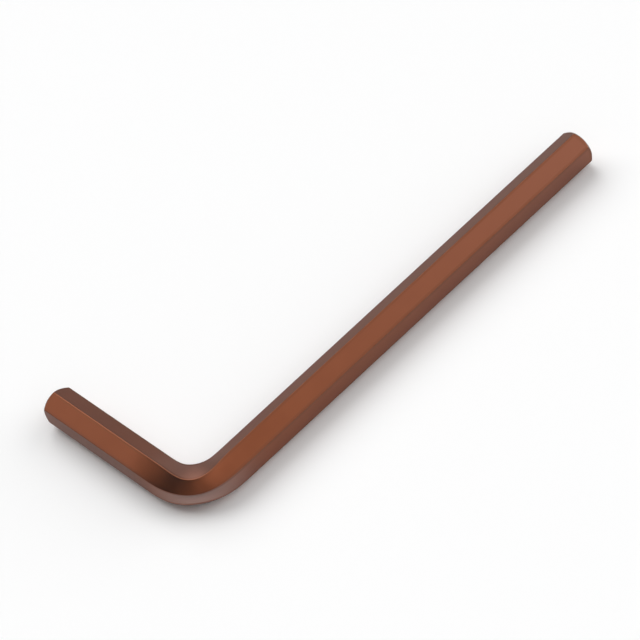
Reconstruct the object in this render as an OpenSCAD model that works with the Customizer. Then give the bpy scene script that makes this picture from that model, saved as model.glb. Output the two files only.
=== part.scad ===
// Hex key: a hexagonal bar with one right-angle bend, a long arm and a short arm.
// It lies on the lowest ridges of its two arms, long arm along +X and short arm along +Y.
// The origin is on the surface that it lies on, at the middle of its length and width.

/* [Bar section] */
// Distance between two opposite flats, the size that fits the screw
across_flats = 6; // [4:0.5:8]
// Radius of each of the six long ridges
ridge_radius = 0.5; // [0.1:0.05:1]

/* [Arms] */
// Length of the long arm, from its end to the outer side of the short arm
long_arm_l = 96; // [60:1:180]
// Length of the short arm, from its end to the outer side of the long arm
short_arm_l = 38; // [25:1:60]

/* [Bend] */
// Radius of the bend, measured to the middle of the bar
bend_radius = 7.5; // [5:0.1:14]

/* [Ends] */
// Width of the chamfer at each end, measured in from the ridges
chamfer_w = 0.6; // [0.2:0.05:1.5]
// Angle between the chamfer and the end face
chamfer_angle = 38; // [15:1:60]

/* [Hidden] */

bronze_brown = [0.53, 0.31, 0.22];
bend_angle = 90;
top_ridge = 90;
ridge_count = 6;
ridge_step = 360 / ridge_count;
ridge_facets = 6;
round_fn = 96;

// The section: a sharp hexagon with a round of ridge_radius set into each corner
sharp_corner_r = across_flats / 2 / cos(ridge_step / 2);
ridge_centre_r = sharp_corner_r - ridge_radius / cos(ridge_step / 2);
corner_r = ridge_centre_r + ridge_radius;

// Straight lengths that are left on the arms after the bend
bend_outer_r = bend_radius + across_flats / 2;
long_straight_l = long_arm_l - bend_outer_r;
short_straight_l = short_arm_l - bend_outer_r;

// Radius of the round end face inside the chamfer
end_face_r = corner_r - chamfer_w;

// Place of the bend's centre, which puts the middle of the box over the origin
bend_centre = [
    bend_outer_r - long_arm_l / 2,
    bend_outer_r - short_arm_l / 2,
    corner_r
];

// Hexagon with rounded corners, one ridge at the top, one at the bottom and a flat on each side
module bar_section() {
    polygon([
        for (k = [0 : ridge_count - 1], i = [0 : ridge_facets])
            let (ridge = top_ridge + k * ridge_step)
            let (facing = ridge + ridge_step * (i / ridge_facets - 1 / 2))
                ridge_centre_r * [cos(ridge), sin(ridge)]
                    + ridge_radius * [cos(facing), sin(facing)]
    ]);
}

// Cone that trims the ridges at the end of an arm and runs clear of the bar below it
module end_cone(straight_l) {
    spread = straight_l / tan(chamfer_angle);
    cylinder(h = straight_l, r1 = end_face_r + spread, r2 = end_face_r, $fn = round_fn);
}

// Straight part of one arm, standing on the end where the bend begins
module arm(straight_l) {
    intersection() {
        linear_extrude(height = straight_l) bar_section();
        end_cone(straight_l);
    }
}

// Quarter turn of the bar about the bend's centre, on the side of -X and -Y
module bend() {
    rotate([0, 0, 180])
        rotate_extrude(angle = bend_angle, $fn = round_fn)
            translate([bend_radius, 0])
                bar_section();
}

// The whole key is one bent bar
module hex_key() {
    color(bronze_brown)
        translate(bend_centre)
            union() {
                bend();
                translate([0, -bend_radius, 0])
                    rotate([90, 0, 90])
                        arm(long_straight_l);
                translate([-bend_radius, 0, 0])
                    rotate([90, 0, 180])
                        arm(short_straight_l);
            }
}

hex_key();
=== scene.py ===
# %% [markdown]
# # A bronze-brown hex key
# The real object is one length of hexagonal steel bar, bent once through a right angle and
# given a thin bronze-brown metallic coat. Its true sizes come from the CAD model, which is
# loaded first and never changed. Everything that is made here fits round that frame.

# %% Load the frame
import math
import bpy
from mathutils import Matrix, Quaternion, Vector


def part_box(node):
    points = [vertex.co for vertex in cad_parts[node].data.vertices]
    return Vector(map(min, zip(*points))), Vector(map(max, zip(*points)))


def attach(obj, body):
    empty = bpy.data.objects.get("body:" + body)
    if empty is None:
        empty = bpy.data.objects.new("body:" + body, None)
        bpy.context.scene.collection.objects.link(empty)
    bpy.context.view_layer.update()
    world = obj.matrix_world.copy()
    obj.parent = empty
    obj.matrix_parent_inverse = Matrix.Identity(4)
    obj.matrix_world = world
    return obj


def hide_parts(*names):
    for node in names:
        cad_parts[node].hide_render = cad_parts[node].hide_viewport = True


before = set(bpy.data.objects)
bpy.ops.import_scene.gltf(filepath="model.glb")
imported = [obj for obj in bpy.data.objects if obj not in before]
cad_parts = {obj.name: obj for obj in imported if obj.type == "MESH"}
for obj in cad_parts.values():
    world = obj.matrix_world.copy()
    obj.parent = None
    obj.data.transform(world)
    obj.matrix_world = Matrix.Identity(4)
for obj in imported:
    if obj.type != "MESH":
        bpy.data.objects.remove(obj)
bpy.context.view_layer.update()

MM = 0.001

# %% [markdown]
# ## The camera
# The photograph looks down on the key from its front left, through a long lens that keeps the
# arms almost free of perspective. The camera is placed by its position and by the point that
# it looks at, and is then turned about its own line of sight, as if the tripod head leaned.
# Turning it with two quaternions keeps these two steps apart, where three Euler angles would
# mix them.

# %% Place the camera
camera_place = Vector((-240.3, -410.7, 513.0)) * MM
camera_aim = Vector((-5.9, -5.86, 3.39)) * MM
camera_lean = math.radians(-19.39)

camera_data = bpy.data.cameras.new("camera")
camera_data.lens = 232.0
camera_data.sensor_width = 36.0
camera_data.clip_start = 0.01
camera_data.clip_end = 50.0
camera = bpy.data.objects.new("camera", camera_data)
bpy.context.scene.collection.objects.link(camera)
bpy.context.scene.camera = camera

upright = (camera_aim - camera_place).to_track_quat("-Z", "Y")
camera.rotation_mode = "QUATERNION"
camera.rotation_quaternion = upright @ Quaternion((0, 0, 1), camera_lean)
camera.location = camera_place
print("Camera to key in mm:", round((camera_aim - camera_place).length / MM))

# %% [markdown]
# ## Sizes of the bar
# The overall lengths are read from the CAD solid, so the two can't drift apart. Only what a
# box can't tell is written here: the width across the flats, how the bend eases in and out,
# and the small chamfer at each end. The radius of the ridges follows from the height of the
# box, because the key lies on one ridge and stands as high as the bar is across its ridges.

# %% Name the sizes
key_low, key_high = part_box("hex_key")
across_flats = 6 * MM
across_ridges = key_high.z - key_low.z
half_step = math.pi / 6
sharp_corner_r = across_flats / 2 / math.cos(half_step)
ridge_radius = (sharp_corner_r - across_ridges / 2) / (1 / math.cos(half_step) - 1)
ridge_centre_r = sharp_corner_r - ridge_radius / math.cos(half_step)

tight_radius = 7.1 * MM
ramp_length = 4.2 * MM

chamfer_w = 0.6 * MM
chamfer_angle = math.radians(38)
face_edge_round = 0.1 * MM
cone_edge_round = 0.4 * MM
end_face_r = across_ridges / 2 - chamfer_w

long_arm_y = key_low.y + across_flats / 2
short_arm_x = key_low.x + across_flats / 2
axis_z = (key_low.z + key_high.z) / 2
print("Ridge radius in mm:", round(ridge_radius / MM, 3))

# %% [markdown]
# ## The section of the bar
# Hexagonal bar is drawn through a die, which leaves six flats that meet in small rounds. A
# bevelled cylinder could stand for it, but then the rounds and the flats would share their
# points unevenly. Here the outline is worked out point by point: an arc round each ridge,
# then a row of points over the flat. Each point keeps the way it faces and how near it is to
# a ridge, which the painted shade on the ridges uses later. On the arc the facing turns faster
# in the middle than at the sides, which draws the thin, crisp line of light of a drawn ridge.

# %% Work out the outline
arc_steps = 10
flat_steps = 12
ridge_crispness = 7.0
# How far from a ridge the painted shade on the ridges reaches
ridge_shade_reach = 0.2 * MM

def ridge_nearness(distance):
    return max(0.0, 1.0 - distance / ridge_shade_reach)

outline = []
for ridge in range(6):
    ridge_angle = math.pi / 2 + ridge * 2 * half_step
    centre_o = ridge_centre_r * math.cos(ridge_angle)
    centre_z = ridge_centre_r * math.sin(ridge_angle)
    for step in range(arc_steps + 1):
        share = 2 * step / arc_steps - 1
        angle = ridge_angle + half_step * share
        place = (centre_o + ridge_radius * math.cos(angle),
                 centre_z + ridge_radius * math.sin(angle))
        crisp_share = math.copysign(1 - (1 - abs(share)) ** ridge_crispness, share)
        facing = ridge_angle + half_step * crisp_share
        outline.append((place, (math.cos(facing), math.sin(facing)), 1.0))
    flat_facing = ridge_angle + half_step
    flat_normal = (math.cos(flat_facing), math.sin(flat_facing))
    flat_run = (-flat_normal[1], flat_normal[0])
    flat_length = 2 * ridge_centre_r * math.sin(half_step)
    start = outline[-1][0]
    for step in range(1, flat_steps):
        run = flat_length * step / flat_steps
        place = (start[0] + flat_run[0] * run, start[1] + flat_run[1] * run)
        outline.append((place, flat_normal, ridge_nearness(min(run, flat_length - run))))

points_round = len(outline)
print("Points round the bar:", points_round)

# %% [markdown]
# ## The line of the bend
# A bar that is bent round a former doesn't go from straight to round at a point: its curve
# tightens over a few millimetres, holds, and opens again. A plain quarter circle would miss
# that. So the bend is laid out by its curvature, which ramps up, stays, and ramps down, and
# the heading and the path follow by adding up small steps.

# %% Lay out the bend
full_turn = math.pi / 2
bend_length = full_turn * tight_radius + ramp_length
fine_steps = 1536
fine = bend_length / fine_steps

def turned(s):
    s = min(max(s, 0.0), bend_length)
    left = bend_length - s
    if s < ramp_length:
        return s * s / (2 * ramp_length * tight_radius)
    if left < ramp_length:
        return full_turn - left * left / (2 * ramp_length * tight_radius)
    return (s - ramp_length / 2) / tight_radius

def heading(turn):
    return Vector((-math.cos(turn), math.sin(turn), 0))

bend_path = [Vector((0, 0, 0))]
for step in range(fine_steps):
    bend_path.append(bend_path[-1] + heading(turned((step + 0.5) * fine)) * fine)

bend_start = Vector((short_arm_x + bend_path[-1].y, long_arm_y, axis_z))
bend_end = bend_start + bend_path[-1]
print("Length along the bend in mm:", round(bend_length / MM, 2))

def middle_of_bar(s):
    if s <= 0:
        return bend_start + heading(0.0) * s
    if s >= bend_length:
        return bend_end + heading(full_turn) * (s - bend_length)
    step = min(int(s / fine), fine_steps - 1)
    return bend_start + bend_path[step].lerp(bend_path[step + 1], s / fine - step)

# %% [markdown]
# ## How bending changes the section
# Bending presses the inner half of the bar together, so that it swells, and stretches the
# outer half, so that it shrinks. The photograph shows this well: the top ridge leaves the
# middle of the bar and runs wide round the bend by more than a millimetre, the flat inside
# it grows wider, and the outermost flat grows narrower. Sweeping one stiff hexagon would
# miss this. So each point of the section is moved a little, most in the middle of the bend.

# %% Change the section
change_middle = 7.45 * MM
change_spread = 2.5 * MM
change_reach = 7.0 * MM
swell_per_length = 0.08 / MM
neutral_inset = 0.5 * MM
all_move = 0.65 * MM
curl_move = 0.0784 / MM
outer_move = -0.0068

def bell(distance):
    return math.exp(-0.5 * (distance / change_spread) ** 2)

def amount_of_change(s):
    edge = bell(change_reach)
    return max(0.0, (bell(s - change_middle) - edge) / (1 - edge))

def changed(s, o, z):
    amount = amount_of_change(s)
    swell = -swell_per_length * (o + neutral_inset)
    move = all_move + curl_move * (z * z - o * o) + outer_move * o
    return o + amount * move, z * (1 + amount * swell)

def bar_point(s, o, z):
    ahead = heading(turned(s))
    new_o, new_z = changed(s, o, z)
    return middle_of_bar(s) + Vector((-ahead.y * new_o, ahead.x * new_o, new_z))

top_o, top_z = changed(change_middle, 0.0, across_ridges / 2)
print("Top ridge at the bend in mm, out:", round(top_o / MM, 2), "up:", round(top_z / MM, 2))

# %% [markdown]
# ## The direction that the surface faces
# Light shows every error in the normals of smooth metal. Blender can average them from the
# faces, but that would bleed the narrow ridges into the flats. The exact direction comes from
# two short steps over the surface, one round the bar and one along it: the normal stands
# square to both. Where the bend runs out into the short arm, the photograph shows the light
# returning more slowly than the edges straighten. The cause can't be seen in the outline, so
# the shape keeps to its edges and only the normals ease over a longer way, by a few degrees.

# %% Find the normals
probe = 0.02 * MM
light_ramp = 16.2 * MM
light_hold = full_turn * tight_radius - (ramp_length + light_ramp) / 2
light_length = ramp_length + light_hold + light_ramp

def light_lag(s):
    left = light_length - s
    if left <= 0 or left >= light_ramp:
        return 0.0
    return turned(s) - full_turn + left * left / (2 * light_ramp * tight_radius)

def bar_normal(s, o, z, facing):
    round_o = -facing[1] * probe
    round_z = facing[0] * probe
    across = bar_point(s, o + round_o, z + round_z) - bar_point(s, o - round_o, z - round_z)
    along = bar_point(s + probe, o, z) - bar_point(s - probe, o, z)
    square = across.cross(along).normalized()
    return Quaternion((0, 0, 1), light_lag(s)) @ square

test_normal = bar_normal(-20 * MM, 0.0, across_ridges / 2, (0.0, 1.0))
print("Normal of the top ridge:", [round(part, 3) for part in test_normal])

# %% [markdown]
# ## The ends
# Each end is cut square and then turned, which cuts a short cone through the ridges and
# leaves the scallops on the flats that every hex key shows. A boolean with a cone would do
# it, but its edges would be knife sharp. Here each outline point gets its own way in from the
# round end face: over a tiny round, down the cone, over a larger round and on to the bar.
# The larger one is where the key rubs in its socket, and it softens the corners of the
# silhouette at both tips.

# %% Shape one end
round_steps = 4
end_face_shares = (0.25, 0.5, 0.75, 0.9)

def rounded_corner(corner, before, after, first_normal, last_normal, radius):
    turn = math.acos(max(-1.0, min(1.0, before.dot(after))))
    reach = radius * math.tan(turn / 2)
    first = corner - before * reach
    last = corner + after * reach
    rows = []
    for step in range(round_steps + 1):
        part = step / round_steps
        place = first.lerp(corner, part).lerp(corner.lerp(last, part), part)
        rows.append((place, first_normal.lerp(last_normal, part).normalized(), 1.0))
    return rows

def end_rows(index):
    (o, z), (facing_o, facing_z), near = outline[index]
    bar_r = math.hypot(o, z)
    radial = Vector((o / bar_r, z / bar_r, 0))
    out_of_end = Vector((0, 0, 1))
    down_cone = Vector((math.cos(chamfer_angle), math.sin(chamfer_angle)))
    cone_normal = radial * math.sin(chamfer_angle) + out_of_end * math.cos(chamfer_angle)
    face_edge = Vector((end_face_r, 0.0))
    cone_edge = Vector((bar_r, (bar_r - end_face_r) * math.tan(chamfer_angle)))
    side_normal = Vector((facing_o, facing_z, 0))
    rows = [(face_edge * share, out_of_end, 0.0) for share in end_face_shares]
    rows += rounded_corner(face_edge, Vector((1, 0)), down_cone,
                           out_of_end, cone_normal, face_edge_round)
    rows += rounded_corner(cone_edge, down_cone, Vector((0, 1)),
                           cone_normal, side_normal, cone_edge_round)
    return radial, rows

rows_per_end = len(end_rows(0)[1])
print("Rows of points at each end:", rows_per_end)

# %% [markdown]
# ## Where the highlight in the bend is painted
# The bend gets a painted pale highlight: full on its outermost flat and weaker on the three
# inner ones. The two flats beside the outermost one get none. A painted mask would
# have to be drawn again for each size. Here every point gets a number from 0 to 1, worked out
# from its place along the bend and from how far outwards or inwards it faces.

# %% Measure the painted highlight
highlight_spread = 4.5 * MM
inner_highlight_share = 0.36
outer_facings = (0.6, 0.95)
inner_facings = (0.0, 0.45)

def smooth(low, high, value):
    share = min(max((value - low) / (high - low), 0.0), 1.0)
    return share * share * (3 - 2 * share)

# Share of the painted pale highlight in the bend, 0 to 1, for each point
def painted_highlight_at(s, outward_facing):
    along_bend = math.exp(-0.5 * ((s - change_middle) / highlight_spread) ** 2)
    outer = smooth(*outer_facings, outward_facing)
    inner = inner_highlight_share * smooth(*inner_facings, -outward_facing)
    return along_bend * max(outer, inner)

# The printed strain is the share of painted highlight on the inner flats
print("Strain inside the bend:", round(painted_highlight_at(change_middle, -1.0), 2))

# %% [markdown]
# ## Rings of points
# A ring is the outline at one place along the bar. Each of its points keeps what the finish
# needs: how near it is to a ridge, how much painted highlight it takes in the bend, and its
# place on the straight bar, along it and across it, so that the grain can follow the bar round
# the bend. These could be looked up in the finished mesh, but here they are at hand as each
# point is made.

# %% Make one ring
verts = []
normals = []
nearness = []
painted_highlights = []
bar_places = []

def add_point(place, normal, near, painted_highlight, bar_place):
    verts.append(place)
    normals.append(normal)
    nearness.append(near)
    painted_highlights.append(painted_highlight)
    bar_places.append(bar_place)

def add_end_ring(tip, out_dir, side_dir, row, s):
    for index in range(points_round):
        radial, rows = end_rows(index)
        (r, depth), normal, near = rows[row]
        place = tip - out_dir * depth + (side_dir * radial.x + Vector((0, 0, radial.y))) * r
        tilt = side_dir * normal.x + Vector((0, 0, normal.y)) + out_dir * normal.z
        straight = (s / MM, radial.x * r / MM, radial.y * r / MM)
        add_point(place, tilt.normalized(), near, 0.0, straight)

def add_bar_ring(s):
    for (o, z), facing, near in outline:
        straight = (s / MM, o / MM, z / MM)
        normal = bar_normal(s, o, z, facing)
        add_point(bar_point(s, o, z), normal, near, painted_highlight_at(s, facing[0]), straight)

print("Points in one ring:", points_round)

# %% [markdown]
# ## Sweep the bar
# Now the rings follow each other along the line: in from the end of the long arm, round the
# bend and out to the end of the short arm. Skinning a curve object would be quicker, but it
# can't give the ends their shape or change the section on the way. The rings stand close
# together in the bend and far apart on the arms, where nothing changes between them.

# %% Gather the rings
long_tip = Vector((key_high.x, long_arm_y, axis_z))
short_tip = Vector((short_arm_x, key_high.y, axis_z))
long_end_s = -(long_tip - bend_start).length
short_end_s = bend_length + (short_tip - bend_end).length

bend_margin = 6.5 * MM
bend_ring_gap = 0.16 * MM
arm_ring_gap = 2.5 * MM
end_depth = 1.0 * MM

def even_steps(start, stop, gap):
    count = math.ceil((stop - start) / gap)
    return [start + (stop - start) * k / count for k in range(count)]

stations = even_steps(long_end_s + end_depth, -bend_margin, arm_ring_gap)
stations += even_steps(-bend_margin, bend_length + bend_margin, bend_ring_gap)
stations += even_steps(bend_length + bend_margin, short_end_s - end_depth, arm_ring_gap)
stations.append(short_end_s - end_depth)

long_out = Vector((1, 0, 0))
long_side = Vector((0, -1, 0))
short_out = Vector((0, 1, 0))
short_side = Vector((-1, 0, 0))
for row in range(rows_per_end):
    add_end_ring(long_tip, long_out, long_side, row, long_end_s)
for s in stations:
    add_bar_ring(s)
for row in reversed(range(rows_per_end)):
    add_end_ring(short_tip, short_out, short_side, row, short_end_s)

rings = len(stations) + 2 * rows_per_end
print("Rings along the bar:", rings)
print("Length along the middle of the bar in mm:", round((short_end_s - long_end_s) / MM, 2))

# %% [markdown]
# ## Skin the rings
# Neighbouring rings are joined by four-sided faces, and a fan of triangles closes each end
# round one more point in its middle. Bridging edge loops would do the same by hand. Counting
# the points is surer, because every face then has its outer side outwards.

# %% Join the rings
first_middle = len(verts)
add_point(long_tip, long_out, 0.0, 0.0, (long_end_s / MM, 0.0, 0.0))
add_point(short_tip, short_out, 0.0, 0.0, (short_end_s / MM, 0.0, 0.0))

faces = []
last_ring = (rings - 1) * points_round
for index in range(points_round):
    following = (index + 1) % points_round
    faces.append((first_middle, following, index))
    faces.append((first_middle + 1, last_ring + index, last_ring + following))
    for ring in range(rings - 1):
        near_ring = ring * points_round
        far_ring = near_ring + points_round
        faces.append((near_ring + index, near_ring + following,
                      far_ring + following, far_ring + index))

print("Faces in the bar:", len(faces))

# %% [markdown]
# ## The bar in the room
# The mesh is written directly, from the lists of points and faces. Smooth shading alone would
# guess the normals, so the exact ones are given to it, and light runs over the bend without
# steps. The three lists that the finish reads are stored with the points, under their names.
# Then the plain solid is hidden and the bar is hung on the root body in its place.

# %% Make the mesh
bar_mesh = bpy.data.meshes.new("bent_bar")
bar_mesh.from_pydata([tuple(place) for place in verts], [], faces)
bar_mesh.polygons.foreach_set("use_smooth", [True] * len(bar_mesh.polygons))
bar_mesh.normals_split_custom_set_from_vertices([tuple(normal) for normal in normals])
ridge_layer = bar_mesh.attributes.new("ridge", "FLOAT", "POINT")
ridge_layer.data.foreach_set("value", nearness)
# Stores the share of painted highlight in the bend with each point
painted_highlight_layer = bar_mesh.attributes.new("painted_highlight", "FLOAT", "POINT")
painted_highlight_layer.data.foreach_set("value", painted_highlights)
place_layer = bar_mesh.attributes.new("bar_place", "FLOAT_VECTOR", "POINT")
place_layer.data.foreach_set("vector", [part for place in bar_places for part in place])
bar_mesh.update()

bar = bpy.data.objects.new("bent_bar", bar_mesh)
bpy.context.scene.collection.objects.link(bar)
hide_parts("hex_key")
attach(bar, "root")

outward_faces = sum(1 for face in bar_mesh.polygons
                    if face.normal.dot(normals[face.vertices[1]]) > 0)
print("Faces that face outwards:", outward_faces)

# %% [markdown]
# ## Bronze-brown coat
# The coat is thin and metallic: it takes its colour from its reflections, so it is a metal in
# the Principled shader, with the brown as its base colour. Seen at a low angle it goes grey
# and soft, as a lacquer with fine metal flakes does. A weak sheen and a thin clear coat give
# that better than a brighter base, which would make the flats that face the light too pale.
# The tint at low angles is lowered, so that the far flats don't turn into mirrors.

# %% Set the plain values of the coat
coat = bpy.data.materials.new("bronze_coated_steel")
coat.use_nodes = True
coat_nodes = coat.node_tree.nodes
coat_links = coat.node_tree.links
coat_shader = coat_nodes["Principled BSDF"]
coat_shader.inputs["Metallic"].default_value = 1.0
coat_shader.inputs["Specular Tint"].default_value = (0.35, 0.35, 0.35, 1.0)
coat_shader.inputs["Coat Weight"].default_value = 0.15
coat_shader.inputs["Coat Roughness"].default_value = 0.2
coat_shader.inputs["Sheen Weight"].default_value = 0.25
coat_shader.inputs["Sheen Roughness"].default_value = 0.5
bar_mesh.materials.append(coat)
print("Metallic:", coat_shader.inputs["Metallic"].default_value)

# %% [markdown]
# ## Grain that follows the bar
# Drawing leaves fine lines along the steel, and the thin coat doesn't quite fill them. An
# image would show its repeats, and a noise in room space would run straight through the bend.
# The points kept their place on the straight bar, so a noise that is squeezed along that
# place gives lines that follow every turn. A second, large noise gives the slow change from
# one batch of coat to the next.

# %% Make the grain and the mottling
def add_node(kind, values):
    node = coat_nodes.new(kind)
    for name, value in values.items():
        node.inputs[name].default_value = value
    return node

def stored(name):
    node = coat_nodes.new("ShaderNodeAttribute")
    node.attribute_name = name
    return node

bar_place = stored("bar_place").outputs["Vector"]

def stretched_noise(squeeze, scale, detail):
    scaled = add_node("ShaderNodeVectorMath", {1: squeeze})
    scaled.operation = "MULTIPLY"
    coat_links.new(bar_place, scaled.inputs[0])
    noise = add_node("ShaderNodeTexNoise", {"Scale": scale, "Detail": detail})
    coat_links.new(scaled.outputs["Vector"], noise.inputs["Vector"])
    return noise.outputs["Fac"]

def ranged(value, low, high, at_low, at_high):
    node = add_node("ShaderNodeMapRange", {"From Min": low, "From Max": high,
                                           "To Min": at_low, "To Max": at_high})
    coat_links.new(value, node.inputs["Value"])
    return node.outputs["Result"]

def mathed(operation, first, second):
    node = coat_nodes.new("ShaderNodeMath")
    node.operation = operation
    coat_links.new(first, node.inputs[0])
    coat_links.new(second, node.inputs[1])
    return node.outputs["Value"]

grain_squeeze = (0.05, 1.0, 1.0)
no_squeeze = (1.0, 1.0, 1.0)
grain = stretched_noise(grain_squeeze, 6.0, 3.0)
mottle = stretched_noise(no_squeeze, 0.16, 2.0)
print("Times that the grain is longer than wide:", round(1 / grain_squeeze[0]))

# %% [markdown]
# ## Colour of the coat
# One flat colour looks like plastic. The coat is painted a little paler towards the end of the
# long arm: a painted reflection, for the brighter light that the flats mirror there. A pale
# mauve highlight is painted where the bar bends: fully on the outermost flat, less on the inner
# flats. The ridges get painted shade, a little darker, which dims their highlight. Each of these
# is one mix, laid over the one before.

# %% Colour the coat
brown = (0.229, 0.0655, 0.0255, 1.0)
brown_dark = (0.214, 0.0600, 0.0230, 1.0)
# Paler colour painted towards the end of the long arm, a painted reflection
painted_tip_light_colour = (0.230, 0.0790, 0.0430, 1.0)
# Painted pale mauve highlight for the bend, standing in for a reflection
painted_highlight_colour = (0.300, 0.186, 0.160, 1.0)
# Painted shade for the ridges, darker to dim their highlight
painted_ridge_shade = (0.176, 0.0560, 0.0250, 1.0)

# A mix node has a set of sockets for each kind of value, and these are its colour ones
first_colour = 6
second_colour = 7
mixed_colour = 2

def mixed(share, first, second):
    node = coat_nodes.new("ShaderNodeMix")
    node.data_type = "RGBA"
    coat_links.new(share, node.inputs["Factor"])
    for socket, colour in ((first_colour, first), (second_colour, second)):
        if isinstance(colour, tuple):
            node.inputs[socket].default_value = colour
        else:
            coat_links.new(colour, node.inputs[socket])
    return node.outputs[mixed_colour]

# Where along the long arm the painted lighter reflection begins, in mm
tip_light_from = -5.0
mottle_middle = (0.35, 0.65)
split_place = coat_nodes.new("ShaderNodeSeparateXYZ")
coat_links.new(bar_place, split_place.inputs["Vector"])
tip_light_share = ranged(split_place.outputs["X"], tip_light_from, long_end_s / MM, 0.0, 1.0)
# Mask of the painted highlight in the bend
painted_highlight = stored("painted_highlight").outputs["Fac"]
# How strongly the painted ridge shade shows, varied by the mottle
ridge_shade_mottle = ranged(mottle, *mottle_middle, 0.5, 0.8)
ridge_shade_share = mathed("MULTIPLY", stored("ridge").outputs["Fac"], ridge_shade_mottle)

colour = mixed(ranged(mottle, *mottle_middle, 0.0, 1.0), brown_dark, brown)
# Paints the lighter reflection towards the end of the long arm
colour = mixed(tip_light_share, colour, painted_tip_light_colour)
# Paints the pale highlight into the bend
colour = mixed(painted_highlight, colour, painted_highlight_colour)
# Paints the shade onto the ridges
colour = mixed(ridge_shade_share, colour, painted_ridge_shade)
coat_links.new(colour, coat_shader.inputs["Base Color"])
print("Colour of the coat:", [round(part, 3) for part in brown[:3]])

# %% [markdown]
# ## Gloss and fine relief
# The grain shows more in the gloss than in the height: its lines are only a few thousandths
# of a millimetre deep. So the same noise drives the roughness a little and a very low bump.
# The coat in the bend, where the pale highlight is painted, is a little rougher too, as a
# stretched coat is.

# %% Roughen the coat
noise_range = (0.3, 0.7)
grain_depth = 0.003 * MM
grain_rough = ranged(grain, *noise_range, -0.02, 0.02)
mottle_rough = ranged(mottle, *noise_range, 0.32, 0.35)
# The same mask of the painted highlight also makes the bend a little rougher
highlight_rough = ranged(painted_highlight, 0.0, 1.0, 0.0, 0.08)
roughness = mathed("ADD", mathed("ADD", grain_rough, mottle_rough), highlight_rough)
coat_links.new(roughness, coat_shader.inputs["Roughness"])

relief = add_node("ShaderNodeBump", {"Strength": 0.3, "Distance": grain_depth})
coat_links.new(grain, relief.inputs["Height"])
coat_links.new(relief.outputs["Normal"], coat_shader.inputs["Normal"])
print("Depth of the grain in mm:", round(grain_depth / MM, 4))

# %% [markdown]
# ## The floor
# The photograph has a plain white ground. A round sheet of matt white paper stands for it,
# large enough to fill every view. Its gloss is taken away, since a low camera would
# otherwise see the lamps in it.

# %% Lay the floor
floor_radius = 12.0
floor_sides = 96
floor_mesh = bpy.data.meshes.new("floor")
rim = [(floor_radius * math.cos(2 * math.pi * k / floor_sides),
        floor_radius * math.sin(2 * math.pi * k / floor_sides), 0.0) for k in range(floor_sides)]
floor_mesh.from_pydata(rim, [], [tuple(range(floor_sides))])
floor = bpy.data.objects.new("floor", floor_mesh)
bpy.context.scene.collection.objects.link(floor)

paper = bpy.data.materials.new("white_paper")
paper.use_nodes = True
paper_shader = paper.node_tree.nodes["Principled BSDF"]
paper_shader.inputs["Base Color"].default_value = (0.95, 0.95, 0.95, 1.0)
paper_shader.inputs["Roughness"].default_value = 0.9
paper_shader.inputs["Specular IOR Level"].default_value = 0.0
floor_mesh.materials.append(paper)
print("Floor radius in metres:", floor_radius)

# %% [markdown]
# ## The room
# Satin metal shows its surroundings, so each flat is as bright as the part of the room that
# it mirrors. Area lamps would have edges, and their edges would show in the flats. Here the
# room is painted on the world instead, as soft patches: each one is bright round its own
# direction and fades to nothing at its edge. A faint dome above the floor fills the rest.

# %% Paint the room
world = bpy.data.worlds.new("studio")
world.use_nodes = True
bpy.context.scene.world = world
room = world.node_tree.nodes
wires = world.node_tree.links
background = room["Background"]
background.inputs["Color"].default_value = (1.0, 1.0, 1.0, 1.0)

coordinates = room.new("ShaderNodeTexCoord")
towards = coordinates.outputs["Generated"]

def fade_in(value, dark, bright, level):
    node = room.new("ShaderNodeMapRange")
    node.interpolation_type = "SMOOTHERSTEP"
    wires.new(value, node.inputs["Value"])
    node.inputs["From Min"].default_value = dark
    node.inputs["From Max"].default_value = bright
    node.inputs["To Max"].default_value = level
    return node.outputs["Result"]

def soft_patch(direction, core, edge, level):
    node = room.new("ShaderNodeVectorMath")
    node.operation = "DOT_PRODUCT"
    wires.new(towards, node.inputs[0])
    node.inputs[1].default_value = Vector(direction).normalized()
    dark = math.cos(math.radians(edge))
    bright = math.cos(math.radians(core))
    return fade_in(node.outputs["Value"], dark, bright, level)

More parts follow.
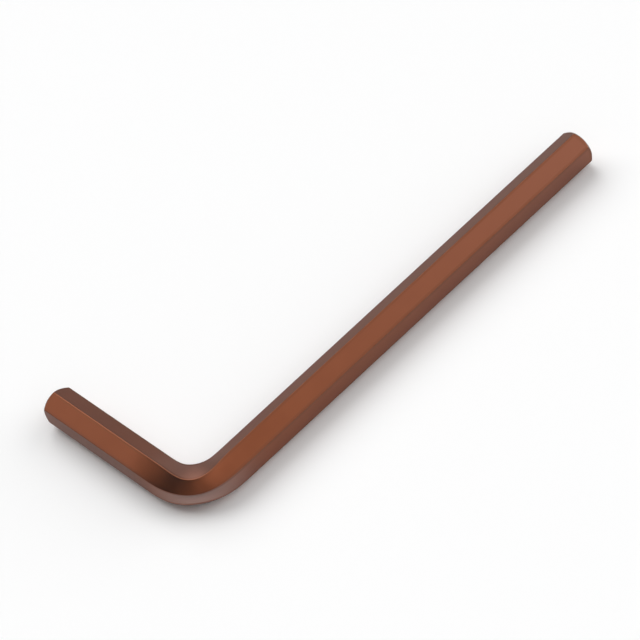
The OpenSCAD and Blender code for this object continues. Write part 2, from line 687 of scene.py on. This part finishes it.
def add_light(first, second):
    node = room.new("ShaderNodeMath")
    node.operation = "ADD"
    wires.new(first, node.inputs[0])
    wires.new(second, node.inputs[1])
    return node.outputs["Value"]

split = room.new("ShaderNodeSeparateXYZ")
wires.new(towards, split.inputs["Vector"])
horizon_fade = 0.1
dome_level = 0.06
room_light = fade_in(split.outputs["Z"], -horizon_fade, 0.0, dome_level)
print("Level of the dome:", dome_level)

# %% [markdown]
# ## The patches of light
# Each patch has a direction, the angles in degrees at which it begins and ends to fade, and
# a level. Each was placed by asking which flat mirrors that direction into the camera. They
# could be cards hung round the key, but a card has to be turned and scaled each time it moves.

# %% Add the patches
patches = {
    "above, on the upper flat of the long arm": ((0.335, -0.344, 0.870), 6, 32, 0.78),
    "above the front, where the bend begins": ((-0.050, -0.700, 0.710), 4, 22, 0.55),
    "behind, on the upper flat of the short arm": ((-0.390, 0.745, 0.540), 3, 16, 1.85),
    "right, on the inner flat of the short arm": ((0.840, 0.530, 0.110), 6, 30, 0.46),
    "front, on the first half of the bend": ((-0.200, -0.850, 0.450), 10, 50, 0.54),
    "left, on the dark middle of the bend": ((-0.900, -0.320, 0.300), 8, 34, 0.20),
    "front right, on all flats of the long arm": ((0.800, -0.450, 0.400), 8, 40, 2.00),
}
for direction, core, edge, level in patches.values():
    room_light = add_light(room_light, soft_patch(direction, core, edge, level))
wires.new(room_light, background.inputs["Strength"])
print("Patches of light:", len(patches))

# %% [markdown]
# ## The soft sun
# One wide, soft sun from behind lights the floor and gives the gentle shadow in front of the
# key. An area lamp would light the near floor more than the far, where a sun lights all of it
# alike. Its wide angle softens the shadow, as a large softbox does.

# %% Hang the softbox
softbox = bpy.data.lights.new("softbox", "SUN")
softbox.angle = math.radians(60)
softbox.energy = 2.09
softbox_lamp = bpy.data.objects.new("softbox", softbox)
bpy.context.scene.collection.objects.link(softbox_lamp)
softbox_from = Vector((0.11, 0.61, 0.785))
softbox_lamp.rotation_mode = "QUATERNION"
softbox_lamp.rotation_quaternion = softbox_from.to_track_quat("Z", "Y")
print("Angle of the soft sun in degrees:", round(math.degrees(softbox.angle)))
bpy.context.scene.view_settings.view_transform = "Standard"
